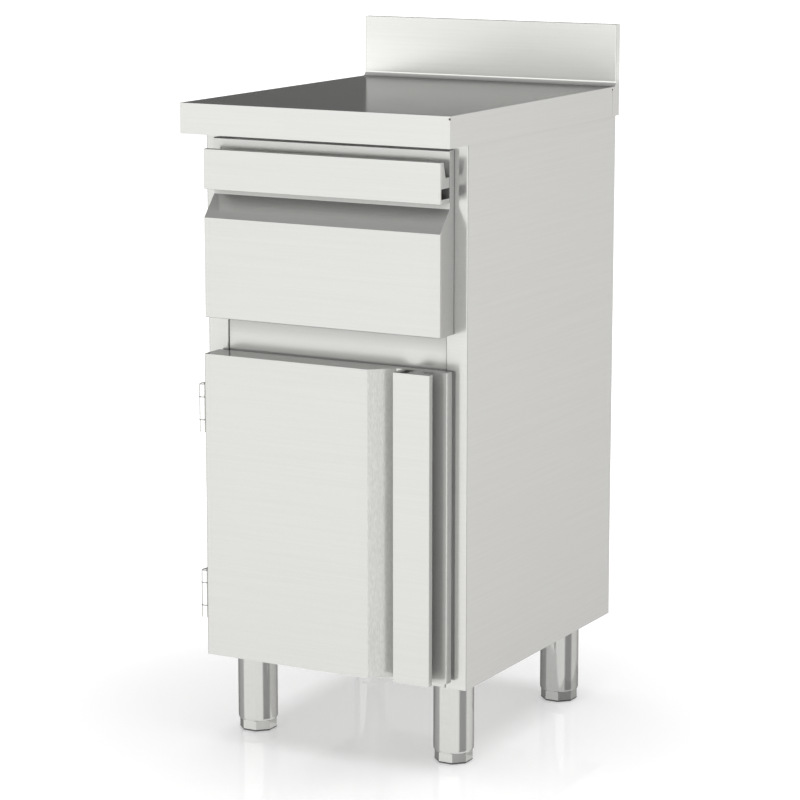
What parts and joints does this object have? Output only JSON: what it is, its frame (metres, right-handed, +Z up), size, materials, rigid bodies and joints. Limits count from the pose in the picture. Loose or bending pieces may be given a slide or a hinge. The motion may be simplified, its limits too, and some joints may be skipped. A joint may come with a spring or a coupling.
{
  "type": "waiter service station",
  "caption": "Stainless steel back-bar cabinet with a worktop and rear upstand, a handled drawer above a hinged cupboard door, on adjustable legs.",
  "frame": {"origin": "on the floor below the middle of the worktop's rectangle", "axes": "+Z up, -Y is the front with the drawer and the door, +X to the right as seen from the front"},
  "size_m": [0.472, 0.6, 1.131],
  "materials": {
    "stainless": "fine satin brushed stainless steel",
    "handle_steel": "satin stainless steel profile",
    "leg_steel": "bright brushed stainless steel tube",
    "zinc_plated": "bright zinc plated steel",
    "gasket_rubber": "matt grey rubber",
    "insert_plastic": "matt black moulded plastic"
  },
  "bodies": {
    "cabinet": {"worktop": "stainless", "worktop_stiffener_front": "stainless", "worktop_stiffener_rear": "stainless", "left_side_panel": "stainless", "right_side_panel": "stainless", "back_panel": "stainless", "top_rail": "stainless", "middle_rail": "stainless", "bottom_rail": "stainless", "floor_pan": "stainless", "shelf": "stainless", "shelf_clip_front_left": "zinc_plated", "shelf_clip_front_right": "zinc_plated", "shelf_clip_rear_left": "zinc_plated", "shelf_clip_rear_right": "zinc_plated", "leg_tube_front_left": "leg_steel", "leg_tube_front_right": "leg_steel", "leg_tube_rear_left": "leg_steel", "leg_tube_rear_right": "leg_steel", "leg_insert_front_left": "insert_plastic", "leg_insert_front_right": "insert_plastic", "leg_insert_rear_left": "insert_plastic", "leg_insert_rear_right": "insert_plastic", "runner_outer_left": "zinc_plated", "runner_outer_right": "zinc_plated", "runner_support_left": "zinc_plated", "runner_support_right": "zinc_plated", "hinge_frame_leaf_upper": "stainless", "hinge_frame_leaf_lower": "stainless", "hinge_pin_upper": "stainless", "hinge_pin_lower": "stainless"},
    "drawer": {"drawer_front_skin": "stainless", "drawer_front_liner": "stainless", "drawer_front_handle": "handle_steel", "drawer_side_left": "stainless", "drawer_side_right": "stainless", "drawer_inner_front": "stainless", "drawer_rear": "stainless", "drawer_floor": "stainless", "runner_inner_left": "zinc_plated", "runner_inner_right": "zinc_plated"},
    "left_runner": {"runner_middle_left": "zinc_plated"},
    "right_runner": {"runner_middle_right": "zinc_plated"},
    "door": {"door_skin": "stainless", "door_liner": "stainless", "door_handle": "handle_steel", "door_gasket": "gasket_rubber", "hinge_door_leaf_upper": "stainless", "hinge_door_leaf_lower": "stainless"},
    "front_left_foot": {"foot_front_left": "leg_steel"},
    "front_right_foot": {"foot_front_right": "leg_steel"},
    "rear_left_foot": {"foot_rear_left": "leg_steel"},
    "rear_right_foot": {"foot_rear_right": "leg_steel"}
  },
  "joints": [
    {"name": "drawer_slide", "type": "slide", "parent": "cabinet", "child": "drawer", "axis": [0, -1, 0], "range_m": [0, 0.4]},
    {"name": "left_runner_slide", "type": "slide", "parent": "cabinet", "child": "left_runner", "axis": [0, -1, 0], "range_m": [0, 0.2]},
    {"name": "right_runner_slide", "type": "slide", "parent": "cabinet", "child": "right_runner", "axis": [0, -1, 0], "range_m": [0, 0.2]},
    {"name": "door_hinge", "type": "hinge", "parent": "cabinet", "child": "door", "pos_m": [-0.216, -0.2737, 0.39], "axis": [0, 0, -1], "range_deg": [0, 110]},
    {"name": "front_left_foot_screw", "type": "slide", "parent": "cabinet", "child": "front_left_foot", "axis": [0, 0, -1], "range_m": [0, 0.03]},
    {"name": "front_right_foot_screw", "type": "slide", "parent": "cabinet", "child": "front_right_foot", "axis": [0, 0, -1], "range_m": [0, 0.03]},
    {"name": "rear_left_foot_screw", "type": "slide", "parent": "cabinet", "child": "rear_left_foot", "axis": [0, 0, -1], "range_m": [0, 0.03]},
    {"name": "rear_right_foot_screw", "type": "slide", "parent": "cabinet", "child": "rear_right_foot", "axis": [0, 0, -1], "range_m": [0, 0.03]}
  ],
  "couplings": [
    {"joint": "left_runner_slide", "follows": "drawer_slide", "ratio": 0.5},
    {"joint": "right_runner_slide", "follows": "drawer_slide", "ratio": 0.5}
  ]
}
